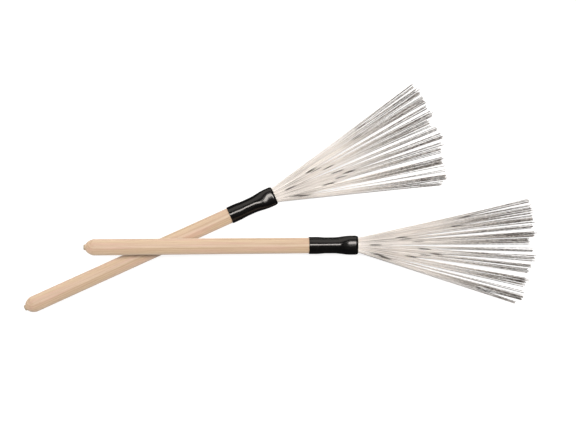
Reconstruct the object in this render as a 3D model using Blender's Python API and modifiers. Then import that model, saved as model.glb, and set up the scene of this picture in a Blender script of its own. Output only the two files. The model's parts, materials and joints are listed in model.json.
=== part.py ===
"""A pair of wire drum brushes, the upper one lying across the handle of the lower one.

Each brush is a turned wooden handle whose front end is cut down to a tenon. A steel ferrule sits on
the tenon and is squeezed flat at its mouth. Hairpins of spring wire hang on a pin that crosses the
ferrule, are potted there in resin, and fan out of the mouth in tufts. A black vinyl sleeve covers
the front of the handle and the whole ferrule.

Every brush is modelled in its own frame: the origin is the centre of the sleeve's mouth, +X points
along the handle's axis towards the wire tips, +Y lies across the fan and +Z stands out of it.
"""

import math
import random
from typing import NamedTuple

import bmesh
import bpy
from mathutils import Matrix, Vector

MM = 0.001

# Driving dimensions of one brush
BUTT_TO_MOUTH = 219.2 * MM
HANDLE_RADIUS = 6.55 * MM
HANDLE_FRONT_RADIUS = 6.2 * MM
SLEEVE_LENGTH = 39.3 * MM
SLEEVE_WALL = 0.5 * MM
FERRULE_LENGTH = 31.4 * MM
FERRULE_WALL = 0.4 * MM
FERRULE_RADIUS = 5.65 * MM
FERRULE_MOUTH_HALF_WIDTH = 7.0 * MM
FERRULE_MOUTH_HALF_DEPTH = 3.6 * MM
FERRULE_SETBACK = 1.7 * MM
SQUEEZE_START = -19.0 * MM
SQUEEZE_END = -6.0 * MM
SQUEEZE_STEPS = 5
FAN_RADIUS = 142.5 * MM
FAN_HALF_DEPTH = 4.5 * MM
WIRE_DIAMETER = 0.46 * MM
FIT_GAP = 0.14 * MM

# Turned details of the handle
NUB_RADIUS = 2.25 * MM
NUB_FACE_RADIUS = 1.3 * MM
NUB_CHAMFER = 0.8 * MM
NUB_LENGTH = 1.9 * MM
DOME_LENGTH = 6.4 * MM
DOME_POWER = 1.5
DOME_STEPS = 6
SHOULDER_CHAMFER = 0.3 * MM
SHOULDER_GAP = 0.4 * MM
TENON_LENGTH = 14.2 * MM

# Moulded details of the sleeve
COLLAR_EDGE_DROP = 0.12 * MM
COLLAR_EDGE_LENGTH = 0.4 * MM
COLLAR_OVERLAP = 0.2 * MM
NECK_LENGTH = 2.0 * MM
LIP_ROUNDING = ((1.3 * MM, 0.06 * MM), (0.4 * MM, 0.4 * MM), (0.0, 1.1 * MM))

# The wires inside the ferrule
PACK_POWER = 3.0
PACK_CHAMFER = 1.4 * MM
PACK_REAR_SHARE = 0.8
PACK_HALF_WIDTH = 5.85 * MM
PACK_HALF_DEPTH = 2.1 * MM
PACK_REAR_HALF_WIDTH = 4.9 * MM
PACK_REAR = -14.6 * MM
ANCHOR_PIN_RADIUS = 1.0 * MM
ANCHOR_PIN_PLACE = -12.2 * MM
ANCHOR_PIN_LENGTH = 12.6 * MM
RESIN_SETBACK = 0.4 * MM

# A cantilevered wire bends as if it turned on a pin at 15 % of its length.
PIVOT_REACH = 0.15 * 138.0 * MM
PIVOT_GAP_BEHIND = 1.4 * MM
PIVOT_GAP_AHEAD = 0.3 * MM
ROOT_LENGTH = 4.5 * MM
ROOT_LAYER_PITCH = 0.8 * MM
ROOT_SIDE_GAP = 0.2 * MM
TIP_LENGTH_SCATTER = 1.4 * MM
TIP_SIDE_SCATTER = 0.06
TIP_LAYER_SCATTER = 0.25
LOW_SIDE_SCATTER = 0.8 * MM
HIGH_SIDE_SCATTER = 2.4 * MM
STAGGER = (0, 3, 1, 4, 2, 5)
CELL_INSET = 0.01 * MM

# How the two brushes lie
LOWER_BEARING = math.radians(24.35)
UPPER_BEARING = math.radians(0.45)
CROSSING_FROM_LOWER_BUTT = 119.5 * MM
CROSSING_FROM_UPPER_BUTT = 61.7 * MM
CROSSING_GAP = 0.3 * MM

ROUND_SEGMENTS = 24
SHARP_ANGLE = math.radians(40)
SEED = 41


class Tuft(NamedTuple):
    """One tuft of a fan: where its wires end, and how they are stacked."""

    side: float
    """Distance of the tuft's middle from the handle's axis at the tips, across the fan."""
    spread: float
    """Width of the tuft at the tips."""
    columns: int
    layers: int
    short: float
    """How far its wires end short of the fan's radius."""

    @property
    def wires(self):
        return self.columns * self.layers


TUFTS = (
    Tuft(34.4 * MM, 2.6 * MM, 1, 6, 0.5 * MM),
    Tuft(27.7 * MM, 6.2 * MM, 3, 6, 0.2 * MM),
    Tuft(20.2 * MM, 5.0 * MM, 3, 5, 0.8 * MM),
    Tuft(13.8 * MM, 2.8 * MM, 1, 6, 1.4 * MM),
    Tuft(7.7 * MM, 4.6 * MM, 2, 5, 0.8 * MM),
    Tuft(2.0 * MM, 4.6 * MM, 3, 5, 5.6 * MM),
    Tuft(-5.0 * MM, 3.2 * MM, 1, 6, 2.2 * MM),
    Tuft(-12.0 * MM, 4.0 * MM, 2, 6, 0.3 * MM),
    Tuft(-17.5 * MM, 2.2 * MM, 1, 6, 2.8 * MM),
    Tuft(-21.7 * MM, 3.4 * MM, 2, 5, 4.4 * MM),
    Tuft(-30.5 * MM, 7.2 * MM, 4, 5, 5.2 * MM),
    Tuft(-38.0 * MM, 3.0 * MM, 1, 3, 4.4 * MM),
    Tuft(-43.2 * MM, 3.8 * MM, 2, 6, 4.4 * MM),
    Tuft(-47.1 * MM, 1.7 * MM, 1, 5, 8.4 * MM),
)
WIRE_COUNT = sum(tuft.wires for tuft in TUFTS)


class Station(NamedTuple):
    """One oval section of a tube or pack: where it is along the axis, and its size there."""

    along: float
    half_width: float
    half_depth: float
    middle: float = 0.0


def clear_scene():
    for obj in list(bpy.data.objects):
        bpy.data.objects.remove(obj, do_unlink=True)


def new_collection(name):
    collection = bpy.data.collections.new(name)
    bpy.context.scene.collection.children.link(collection)
    return collection


def plain_material(name, colour, roughness, metallic=0.0):
    material = bpy.data.materials.new(name)
    material.use_nodes = True
    shader = material.node_tree.nodes["Principled BSDF"]
    shader.inputs["Base Color"].default_value = (*colour, 1.0)
    shader.inputs["Roughness"].default_value = roughness
    shader.inputs["Metallic"].default_value = metallic
    return material


def add_mesh(bm, name, collection, parent, material, smooth=True):
    """Turns a bmesh into a named object in the parent's frame."""
    bmesh.ops.recalc_face_normals(bm, faces=bm.faces)
    mesh = bpy.data.meshes.new(name)
    bm.to_mesh(mesh)
    bm.free()
    obj = bpy.data.objects.new(name, mesh)
    collection.objects.link(obj)
    obj.parent = parent
    if material:
        mesh.materials.append(material)
    if smooth:
        shade_round(mesh)
    return obj


def shade_round(mesh):
    mesh.shade_smooth()
    mesh.set_sharp_from_angle(angle=SHARP_ANGLE)


def make_cutter(obj):
    obj.hide_render = True
    obj.display_type = "WIRE"
    return obj


def cut(obj, cutter):
    modifier = obj.modifiers.new("cut_" + cutter.name, "BOOLEAN")
    modifier.operation = "DIFFERENCE"
    modifier.object = cutter


def oval_point(station, turn, power):
    """A point of a superellipse at a station. Power 2 is an ellipse, and more is squarer."""
    cosine, sine = math.cos(turn), math.sin(turn)
    across = math.copysign(abs(cosine) ** (2 / power), cosine)
    out = math.copysign(abs(sine) ** (2 / power), sine)
    return Vector(
        (
            station.along,
            station.middle + station.half_width * across,
            station.half_depth * out,
        )
    )


def loft(stations, power=2.0, capped=True, segments=ROUND_SEGMENTS):
    """Joins oval sections into a tube, or into a solid when its ends are capped."""
    bm = bmesh.new()
    rings = []
    for station in stations:
        turns = (2 * math.pi * i / segments for i in range(segments))
        rings.append([bm.verts.new(oval_point(station, turn, power)) for turn in turns])
    for first, second in zip(rings, rings[1:]):
        for i in range(segments):
            j = (i + 1) % segments
            bm.faces.new((first[i], first[j], second[j], second[i]))
    if capped:
        bm.faces.new(rings[0])
        bm.faces.new(rings[-1])
    return bm


def grown(stations, by):
    return [
        Station(s.along, s.half_width + by, s.half_depth + by, s.middle)
        for s in stations
    ]


def ferrule_stations():
    """Outer sections of the ferrule: round on the tenon, squeezed flat towards the mouth."""
    mouth = -FERRULE_SETBACK
    rear = mouth - FERRULE_LENGTH
    stations = [Station(rear, FERRULE_RADIUS, FERRULE_RADIUS)]
    for i in range(SQUEEZE_STEPS + 1):
        share = i / SQUEEZE_STEPS
        eased = share * share * (3 - 2 * share)
        stations.append(
            Station(
                SQUEEZE_START + share * (SQUEEZE_END - SQUEEZE_START),
                FERRULE_RADIUS + eased * (FERRULE_MOUTH_HALF_WIDTH - FERRULE_RADIUS),
                FERRULE_RADIUS + eased * (FERRULE_MOUTH_HALF_DEPTH - FERRULE_RADIUS),
            )
        )
    stations.append(
        Station(mouth, FERRULE_MOUTH_HALF_WIDTH, FERRULE_MOUTH_HALF_DEPTH)
    )
    return stations


def sleeve_stations():
    """Outer sections of the sleeve: a collar on the handle, a waist, the bulge and a turned-in lip."""
    over_ferrule = grown(ferrule_stations(), FIT_GAP + SLEEVE_WALL)
    collar_radius = HANDLE_FRONT_RADIUS + FIT_GAP + SLEEVE_WALL
    shoulder = over_ferrule[0].along
    waist = over_ferrule[1].half_width
    bulge_width = over_ferrule[-1].half_width
    bulge_depth = over_ferrule[-1].half_depth
    edge_radius = collar_radius - COLLAR_EDGE_DROP
    neck = shoulder + COLLAR_OVERLAP
    collar = [
        Station(-SLEEVE_LENGTH, edge_radius, edge_radius),
        Station(-SLEEVE_LENGTH + COLLAR_EDGE_LENGTH, collar_radius, collar_radius),
        Station(neck, collar_radius, collar_radius),
        Station(neck + NECK_LENGTH, waist, waist),
    ]
    lip = [
        Station(-back, bulge_width - turned_in, bulge_depth - turned_in)
        for back, turned_in in LIP_ROUNDING
    ]
    return collar + over_ferrule[1:-1] + lip


def pack_stations():
    """Sections of the packed wires, from the pin in the ferrule to just behind the pivots."""
    front = PIVOT_REACH - PIVOT_GAP_BEHIND
    sides = [side_at(front, edge) for edge in (0, WIRE_COUNT)]
    wire_radius = WIRE_DIAMETER / 2
    return [
        Station(
            PACK_REAR,
            PACK_REAR_SHARE * PACK_REAR_HALF_WIDTH,
            PACK_REAR_SHARE * PACK_HALF_DEPTH,
        ),
        Station(PACK_REAR + PACK_CHAMFER, PACK_REAR_HALF_WIDTH, PACK_HALF_DEPTH),
        Station(SQUEEZE_END, PACK_HALF_WIDTH, PACK_HALF_DEPTH),
        Station(0.0, PACK_HALF_WIDTH, PACK_HALF_DEPTH),
        Station(
            front,
            abs(sides[0] - sides[1]) / 2 + wire_radius,
            PACK_HALF_DEPTH,
            sum(sides) / 2,
        ),
    ]


def mouth_side(wires_before):
    """Where a wire sits across the mouth, from the number of wires between it and the first edge."""
    half = PACK_HALF_WIDTH - WIRE_DIAMETER / 2
    return half - 2 * half * wires_before / WIRE_COUNT


def fan_reach(side, short=0.0):
    """How far along the axis a wire ends, so that the tips lie on an arc round the mouth."""
    return math.sqrt(FAN_RADIUS**2 - side**2) - short


def side_at(along, wires_before):
    """Where the fan's edge lies across, at a distance in front of the mouth."""
    first, last = TUFTS[0], TUFTS[-1]
    tip = (
        first.side + first.spread / 2 if wires_before == 0 else last.side - last.spread / 2
    )
    start = mouth_side(wires_before)
    return start + (tip - start) * along / fan_reach(tip)


def shank_radius(from_butt):
    """Radius of the tapered shank at a distance from the butt."""
    start = NUB_LENGTH + DOME_LENGTH
    end = BUTT_TO_MOUTH - FERRULE_SETBACK - FERRULE_LENGTH - SHOULDER_GAP
    share = (from_butt - start) / (end - start)
    return HANDLE_RADIUS + share * (HANDLE_FRONT_RADIUS - HANDLE_RADIUS)


def build_handle(prefix, collection, frame, material):
    """A turned handle: tenon, shoulder, long taper, domed butt and a small nub with a flat face."""
    shoulder = -FERRULE_SETBACK - FERRULE_LENGTH - SHOULDER_GAP
    tenon_radius = FERRULE_RADIUS - FERRULE_WALL - FIT_GAP
    tenon_front = shoulder + TENON_LENGTH
    butt = -BUTT_TO_MOUTH
    dome_start = butt + NUB_LENGTH
    outline = [
        (0.0, tenon_front),
        (tenon_radius - SHOULDER_CHAMFER, tenon_front),
        (tenon_radius, tenon_front - SHOULDER_CHAMFER),
        (tenon_radius, shoulder),
        (HANDLE_FRONT_RADIUS - SHOULDER_CHAMFER, shoulder),
        (HANDLE_FRONT_RADIUS, shoulder - SHOULDER_CHAMFER),
    ]
    for i in range(DOME_STEPS, -1, -1):
        share = i / DOME_STEPS
        rise = (1 - (1 - share) ** DOME_POWER) ** (1 / DOME_POWER)
        radius = NUB_RADIUS + rise * (HANDLE_RADIUS - NUB_RADIUS)
        outline.append((radius, dome_start + share * DOME_LENGTH))
    outline += [
        (NUB_RADIUS, butt + NUB_CHAMFER),
        (NUB_FACE_RADIUS, butt),
        (0.0, butt),
    ]
    mesh = bpy.data.meshes.new(prefix + "handle")
    points = [(radius, 0.0, along) for radius, along in outline]
    mesh.from_pydata(points, [(i, i + 1) for i in range(len(points) - 1)], [])
    mesh.materials.append(material)
    handle = bpy.data.objects.new(prefix + "handle", mesh)
    collection.objects.link(handle)
    handle.parent = frame
    handle.rotation_euler = (0.0, math.radians(90), 0.0)
    screw = handle.modifiers.new("turn", "SCREW")
    screw.axis = "Z"
    screw.steps = screw.render_steps = ROUND_SEGMENTS
    screw.use_merge_vertices = True
    screw.merge_threshold = 0.01 * MM
    screw.use_smooth_shade = True
    return handle


def build_tube(name, stations, wall, collection, frame, material):
    """A thin-walled oval tube, its wall grown inwards from the outer sections."""
    bm = loft(stations, capped=False)
    tube = add_mesh(bm, name, collection, frame, material)
    shell = tube.modifiers.new("wall", "SOLIDIFY")
    shell.thickness = wall
    shell.offset = -1.0
    shell.use_even_offset = True
    return tube


def cross_pin(name, radius, length, collection, frame, material):
    """A pin lying across the fan, in the middle of the ferrule."""
    bm = bmesh.new()
    across = Matrix.Rotation(math.radians(90), 4, "X")
    bmesh.ops.create_cone(
        bm,
        cap_ends=True,
        segments=16,
        radius1=radius,
        radius2=radius,
        depth=length,
        matrix=across,
    )
    pin = add_mesh(bm, name, collection, frame, material)
    pin.location = (ANCHOR_PIN_PLACE, 0.0, 0.0)
    return pin


def build_root(prefix, collection, cutters, frame, materials):
    """The ferrule with what it holds: the pin, the packed wires and the resin round them."""
    ferrule = build_tube(
        prefix + "ferrule",
        ferrule_stations(),
        FERRULE_WALL,
        collection,
        frame,
        materials["ferrule_steel"],
    )
    cross_pin(
        prefix + "anchor_pin",
        ANCHOR_PIN_RADIUS,
        ANCHOR_PIN_LENGTH,
        collection,
        frame,
        materials["pin_steel"],
    )
    pin_hole = make_cutter(
        cross_pin(
            prefix + "pin_hole",
            ANCHOR_PIN_RADIUS + FIT_GAP,
            2 * ANCHOR_PIN_LENGTH,
            cutters,
            frame,
            None,
        )
    )
    pack = add_mesh(
        loft(pack_stations(), PACK_POWER),
        prefix + "wire_pack",
        collection,
        frame,
        materials["spring_wire"],
    )
    rear, *rest = grown(pack_stations(), FIT_GAP)
    pocket = make_cutter(
        add_mesh(
            loft([rear._replace(along=rear.along - FIT_GAP), *rest], PACK_POWER),
            prefix + "pack_pocket",
            cutters,
            frame,
            None,
        )
    )
    inside = grown(ferrule_stations()[1:], -FERRULE_WALL - FIT_GAP)
    front = inside[-1]
    inside[-1] = front._replace(along=front.along - RESIN_SETBACK)
    resin = add_mesh(
        loft(inside),
        prefix + "resin_plug",
        collection,
        frame,
        materials["resin"],
    )
    cut(resin, pocket)
    for holed in (ferrule, pack, resin):
        cut(holed, pin_hole)


def square(middle, half):
    """Corners of a square section across a wire, in turn."""
    signs = ((-1, -1), (1, -1), (1, 1), (-1, 1))
    return [middle + Vector((0.0, y * half, z * half)) for y, z in signs]


def reshape_face(face, corners):
    """Moves each corner of a four-sided face to the nearest-turned corner of a square."""
    middle = face.calc_center_median()
    for vert in face.verts:
        across = 1 if vert.co.y > middle.y else -1
        out = 1 if vert.co.z > middle.z else -1
        vert.co = corners[{(-1, -1): 0, (1, -1): 1, (1, 1): 2, (-1, 1): 3}[across, out]]


def tuft_tips(tuft, length, dice):
    """Wire ends in the tuft's own frame, column by column and layer by layer."""
    low = -FAN_HALF_DEPTH + WIRE_DIAMETER / 2 + dice.uniform(0.0, LOW_SIDE_SCATTER)
    high = FAN_HALF_DEPTH - WIRE_DIAMETER / 2 - dice.uniform(0.0, HIGH_SIDE_SCATTER)
    step = (high - low) / (tuft.layers - 1)
    tips = []
    for column in range(tuft.columns):
        for layer in range(tuft.layers):
            rank = column + (STAGGER[layer] % tuft.layers + 0.5) / tuft.layers
            side_scatter = dice.uniform(-TIP_SIDE_SCATTER, TIP_SIDE_SCATTER)
            share = rank / tuft.columns - 0.5 + side_scatter
            outermost = layer in (0, tuft.layers - 1)
            layer_scatter = dice.uniform(-TIP_LAYER_SCATTER, TIP_LAYER_SCATTER)
            rise = low + step * (layer if outermost else layer + layer_scatter)
            reach = length - dice.uniform(0.0, TIP_LENGTH_SCATTER)
            tips.append(Vector((reach, share * tuft.spread, rise)))
    return tips


def build_tuft(name, tuft, length, root_width, collection, pivot, material, dice):
    """A tuft of wires that leave one packed root, as square prisms of a round wire's section."""
    half = WIRE_DIAMETER * math.sqrt(math.pi) / 4
    root_front = PIVOT_GAP_AHEAD + ROOT_LENGTH
    bm = bmesh.new()
    bmesh.ops.create_grid(
        bm, x_segments=tuft.columns, y_segments=tuft.layers, size=0.5
    )
    depth = tuft.layers * ROOT_LAYER_PITCH
    for vert in bm.verts:
        vert.co = Vector((root_front, vert.co.x * root_width, vert.co.y * depth))
    rim = [edge for edge in bm.edges if edge.is_boundary]
    cells = sorted(
        bm.faces,
        key=lambda face: (
            round(face.calc_center_median().y / root_width, 3),
            face.calc_center_median().z,
        ),
    )
    back = bmesh.ops.extrude_edge_only(bm, edges=rim)["geom"]
    for vert in (item for item in back if isinstance(item, bmesh.types.BMVert)):
        vert.co.x = PIVOT_GAP_AHEAD
    rear_rim = [
        item
        for item in back
        if isinstance(item, bmesh.types.BMEdge) and item.is_boundary
    ]
    bmesh.ops.holes_fill(bm, edges=rear_rim, sides=0)
    bmesh.ops.inset_individual(bm, faces=cells, thickness=CELL_INSET)
    starts = [cell.calc_center_median() for cell in cells]
    for cell, start in zip(cells, starts):
        reshape_face(cell, square(start, half))
    ends = bmesh.ops.extrude_discrete_faces(bm, faces=cells)["faces"]
    for end, tip in zip(ends, tuft_tips(tuft, length, dice)):
        reshape_face(end, square(tip, half))
    return add_mesh(bm, name, collection, pivot, material, smooth=False)


def build_fan(prefix, collection, frame, material):
    """The tufts in front of the packed wires. Each has its origin on the pin it seems to turn on."""
    dice = random.Random(SEED)
    before = 0
    for number, tuft in enumerate(TUFTS, start=1):
        start = mouth_side(before + tuft.wires / 2)
        reach = fan_reach(tuft.side, tuft.short)
        bearing = math.atan2(tuft.side - start, reach)
        mouth_width = mouth_side(before) - mouth_side(before + tuft.wires)
        opened = (PIVOT_REACH + ROOT_LENGTH) / reach
        root_width = mouth_width + (tuft.spread - mouth_width) * opened - ROOT_SIDE_GAP
        pivot = bpy.data.objects.new(f"{prefix}pivot_{number:02d}", None)
        collection.objects.link(pivot)
        pivot.parent = frame
        pivot.location = (
            PIVOT_REACH,
            start + math.tan(bearing) * PIVOT_REACH,
            0.0,
        )
        pivot.rotation_euler = (0.0, 0.0, bearing)
        length = (reach - PIVOT_REACH) / math.cos(bearing)
        name = f"{prefix}wire_tuft_{number:02d}"
        build_tuft(name, tuft, length, root_width, collection, pivot, material, dice)
        before += tuft.wires


def build_brush(prefix, frame, collection, cutters, materials):
    build_handle(prefix, collection, frame, materials["handle_wood"])
    build_tube(
        prefix + "sleeve",
        sleeve_stations(),
        SLEEVE_WALL,
        collection,
        frame,
        materials["sleeve_vinyl"],
    )
    build_root(prefix, collection, cutters, frame, materials)
    build_fan(prefix, collection, frame, materials["spring_wire"])


def lay_brushes(lower, upper):
    """Lays the lower brush on its collar and wire tips, and the upper one across its handle."""
    collar_radius = HANDLE_FRONT_RADIUS + FIT_GAP + SLEEVE_WALL
    lower_drop = collar_radius - FAN_HALF_DEPTH
    lower_pitch = math.asin(lower_drop / (SLEEVE_LENGTH + fan_reach(0.0)))
    lower_height = collar_radius - SLEEVE_LENGTH * math.sin(lower_pitch)
    behind_mouth = BUTT_TO_MOUTH - CROSSING_FROM_LOWER_BUTT
    crossing_height = lower_height + behind_mouth * math.sin(lower_pitch)
    crossing_height += shank_radius(CROSSING_FROM_LOWER_BUTT)
    crossing_height += shank_radius(CROSSING_FROM_UPPER_BUTT) + CROSSING_GAP
    upper_behind = BUTT_TO_MOUTH - CROSSING_FROM_UPPER_BUTT
    upper_drop = crossing_height - FAN_HALF_DEPTH
    upper_pitch = math.asin(upper_drop / (upper_behind + fan_reach(0.0)))
    lower.location = (0.0, 0.0, lower_height)
    lower.rotation_euler = (0.0, lower_pitch, LOWER_BEARING)
    lower_way = Vector((math.cos(LOWER_BEARING), math.sin(LOWER_BEARING), 0.0))
    upper_way = Vector((math.cos(UPPER_BEARING), math.sin(UPPER_BEARING), 0.0))
    mouth = upper_behind * upper_way - behind_mouth * lower_way
    mouth.z = crossing_height - upper_behind * math.sin(upper_pitch)
    upper.location = mouth
    upper.rotation_euler = (0.0, upper_pitch, UPPER_BEARING)


def stand_at_origin(pair, collection):
    """Moves the pair so that the bottom centre of its bounding box is the world's origin."""
    bpy.context.view_layer.update()
    graph = bpy.context.evaluated_depsgraph_get()
    corners = []
    for obj in collection.objects:
        if obj.type == "MESH":
            seen = obj.evaluated_get(graph)
            corners += [seen.matrix_world @ vert.co for vert in seen.data.vertices]
    low = Vector(min(corner[axis] for corner in corners) for axis in range(3))
    high = Vector(max(corner[axis] for corner in corners) for axis in range(3))
    pair.location = (-(low.x + high.x) / 2, -(low.y + high.y) / 2, -low.z)


def main():
    clear_scene()
    collection = new_collection("wire_drum_brushes")
    cutters = new_collection("cutters")
    cutters.hide_render = True
    materials = {
        "handle_wood": plain_material("handle_wood", (0.78, 0.58, 0.40), 0.5),
        "sleeve_vinyl": plain_material("sleeve_vinyl", (0.012, 0.012, 0.012), 0.2),
        "ferrule_steel": plain_material("ferrule_steel", (0.6, 0.6, 0.6), 0.35, 1.0),
        "pin_steel": plain_material("pin_steel", (0.5, 0.5, 0.5), 0.4, 1.0),
        "resin": plain_material("resin", (0.55, 0.42, 0.2), 0.3),
        "spring_wire": plain_material("spring_wire", (0.75, 0.72, 0.67), 0.3, 1.0),
    }
    pair = bpy.data.objects.new("pair", None)
    collection.objects.link(pair)
    frames = []
    for prefix in ("lower_", "upper_"):
        frame = bpy.data.objects.new(prefix + "brush_frame", None)
        collection.objects.link(frame)
        frame.parent = pair
        build_brush(prefix, frame, collection, cutters, materials)
        frames.append(frame)
    lay_brushes(*frames)
    stand_at_origin(pair, collection)


main()
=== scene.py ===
"""Looks for a pair of wire drum brushes, one lying across the handle of the other.

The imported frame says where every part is. Each brush is dressed by one class, which works in the
brush's own frame: the origin is the middle of the sleeve's mouth, X points along the handle
towards the wire tips, Y lies across the fan and Z stands out of it. All sizes are in metres.
"""

from __future__ import annotations

import json
import logging
import math
from collections.abc import Iterable, Mapping, Sequence
from dataclasses import dataclass, replace
from enum import Enum
from functools import cached_property

import bmesh
import bpy
import numpy as np
from mathutils import Matrix, Vector, noise


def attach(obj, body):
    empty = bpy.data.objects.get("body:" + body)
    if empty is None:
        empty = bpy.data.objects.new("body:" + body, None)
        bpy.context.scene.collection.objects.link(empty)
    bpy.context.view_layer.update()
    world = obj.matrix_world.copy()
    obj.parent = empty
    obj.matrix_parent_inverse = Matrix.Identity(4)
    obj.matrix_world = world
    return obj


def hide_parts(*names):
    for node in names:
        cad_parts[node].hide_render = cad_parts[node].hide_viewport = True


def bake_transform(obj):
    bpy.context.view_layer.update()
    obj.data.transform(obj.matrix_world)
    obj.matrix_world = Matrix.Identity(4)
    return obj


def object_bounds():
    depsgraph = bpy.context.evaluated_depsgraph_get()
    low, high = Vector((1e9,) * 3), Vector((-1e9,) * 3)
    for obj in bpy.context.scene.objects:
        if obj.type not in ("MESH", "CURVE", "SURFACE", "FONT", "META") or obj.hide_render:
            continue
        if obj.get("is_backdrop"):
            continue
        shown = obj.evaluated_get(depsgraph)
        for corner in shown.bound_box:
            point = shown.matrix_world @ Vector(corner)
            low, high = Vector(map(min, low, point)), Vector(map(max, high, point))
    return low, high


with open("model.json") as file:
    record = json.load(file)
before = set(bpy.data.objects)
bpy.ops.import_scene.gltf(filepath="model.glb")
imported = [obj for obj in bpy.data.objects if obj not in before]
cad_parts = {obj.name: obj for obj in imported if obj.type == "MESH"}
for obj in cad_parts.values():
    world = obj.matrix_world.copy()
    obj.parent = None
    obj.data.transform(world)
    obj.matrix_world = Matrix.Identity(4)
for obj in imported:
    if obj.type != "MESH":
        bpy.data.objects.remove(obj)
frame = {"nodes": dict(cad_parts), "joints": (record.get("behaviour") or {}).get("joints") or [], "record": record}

LOG = logging.getLogger("brushes")
MM = 0.001
ROUND_POWER = 2.0
"""The power of an oval whose faces aren't flattened."""
RIPPLES_PER_METRE = 110.0
"""How many ripples a dipped skin has."""
STRAY_POWER = 4.0
"""How rare a wire that strays far is."""
LATE_POWER = 2.5
"""How late along its length a wire begins to stray."""
SAG = 0.1
LIFT = 0.6
"""How far down and up a wire may stray, as shares of how far it may stray across."""

Colour = tuple[float, float, float]
Shares = float | np.ndarray
Socket = bpy.types.NodeSocket
NodeInput = object
"""What a node's input takes: a socket to link, or a plain value."""


class Side(Enum):
    """Which of the two brushes a piece belongs to."""

    LOWER = "lower"
    UPPER = "upper"


class Slot(Enum):
    """The record's material slots of the pieces that are remade here."""

    WOOD = "handle_wood"
    VINYL = "sleeve_vinyl"
    FERRULE = "ferrule_steel"
    WIRE = "spring_wire"


@dataclass(frozen=True)
class BrushFrame:
    """Where one brush lies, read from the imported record."""

    side: Side
    mouth: Vector
    along: Vector
    across: Vector
    out: Vector

    @classmethod
    def of(cls, side: Side) -> BrushFrame:
        """Finds a brush's frame from its butt face, its wires' hinges and its sleeve.

        Args:
            side: The brush to find.

        Returns:
            The frame, whose origin is the middle of the sleeve's mouth.
        """
        record = frame["record"]
        butt = next(m for m in record["mounts"] if m["name"] == f"{side.value}_butt_face")
        along = -Vector(butt["axis"]).normalized()
        hinges = [
            Vector(joint["axis"])
            for joint in frame["joints"]
            if joint["name"].startswith(f"{side.value}_flex")
        ]
        out = Vector()
        for hinge in hinges:
            out += hinge.cross(along)
        out.normalize()
        start = Vector(butt["pos_m"])
        reach = cad_points(f"{side.value}_sleeve") - np.array(start)
        length = float((reach @ np.array(along)).max())
        return cls(side, start + length * along, along, out.cross(along), out)

    @property
    def matrix(self) -> Matrix:
        """The matrix from the brush's frame to the row's frame."""
        turned = Matrix((self.along, self.across, self.out)).transposed().to_4x4()
        return Matrix.Translation(self.mouth) @ turned

    def name(self, thing: str) -> str:
        """Gives the full name of one of the brush's nodes, bodies or pieces."""
        return f"{self.side.value}_{thing}"

    @property
    def body(self) -> str:
        """The name of the body that the handle and sleeve belong to."""
        return self.name("brush")

    def local(self, points: np.ndarray) -> np.ndarray:
        """Takes points from the row's frame to the brush's frame."""
        axes = np.array([self.along, self.across, self.out])
        return (points - np.array(self.mouth)) @ axes.T

    def world(self, x: float, y: float = 0.0, z: float = 0.0) -> Vector:
        """Takes one point from the brush's frame to the row's frame."""
        return self.matrix @ Vector((x, y, z))


def cad_points(node: str) -> np.ndarray:
    """Gives the points of a CAD node in the row's frame."""
    mesh = frame["nodes"][node].data
    points = np.empty(len(mesh.vertices) * 3)
    mesh.vertices.foreach_get("co", points)
    return points.reshape(-1, 3)


def cad_edges(node: str) -> np.ndarray:
    """Gives the pairs of point numbers that a CAD node's edges join."""
    mesh = frame["nodes"][node].data
    pairs = np.empty(len(mesh.edges) * 2, int)
    mesh.edges.foreach_get("vertices", pairs)
    return pairs.reshape(-1, 2)


def add_object(name: str, data: bpy.types.ID) -> bpy.types.Object:
    """Adds an object to the scene."""
    made = bpy.data.objects.new(name, data)
    bpy.context.scene.collection.objects.link(made)
    return made


def clamped(share: Shares) -> Shares:
    """Keeps shares between 0 and 1."""
    return np.clip(share, 0.0, 1.0)


def eased(share: Shares) -> Shares:
    """Turns a share that grows evenly into one that starts and ends gently."""
    share = clamped(share)
    return share * share * (3 - 2 * share)


class Bench:
    """A node tree under construction."""

    def __init__(self, tree: bpy.types.NodeTree) -> None:
        """Takes the tree that nodes are added to."""
        self.tree = tree

    def feed(self, socket: Socket, value: NodeInput) -> None:
        """Links a socket to another, or sets its value."""
        if isinstance(value, bpy.types.NodeSocket):
            self.tree.links.new(value, socket)
        else:
            socket.default_value = value

    def add(
        self,
        kind: str,
        inputs: Mapping[str | int, NodeInput] | None = None,
        **settings: object,
    ) -> bpy.types.Node:
        """Adds a node.

        Args:
            kind: The node's type name.
            inputs: Values or sockets for its inputs, by name or by number.
            settings: Its own properties, which are set before its inputs.

        Returns:
            The new node.
        """
        made = self.tree.nodes.new(kind)
        for name, value in settings.items():
            setattr(made, name, value)
        for key, value in (inputs or {}).items():
            self.feed(made.inputs[key], value)
        return made

    def maths(self, operation: str, *values: Socket | float) -> Socket:
        """Adds a sum on some values."""
        made = self.add("ShaderNodeMath", dict(enumerate(values)), operation=operation)
        return made.outputs["Value"]


@dataclass(frozen=True)
class Grain:
    """A noise pattern: its repeats per metre along, across and out of a brush, and its fineness."""

    scale: tuple[float, float, float]
    detail: float = 3.0
    rough: float = 0.5


@dataclass(frozen=True)
class Span:
    """How a pattern's values from low to high become an amount from least to most."""

    low: float
    high: float
    least: float = 0.0
    most: float = 1.0


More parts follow.
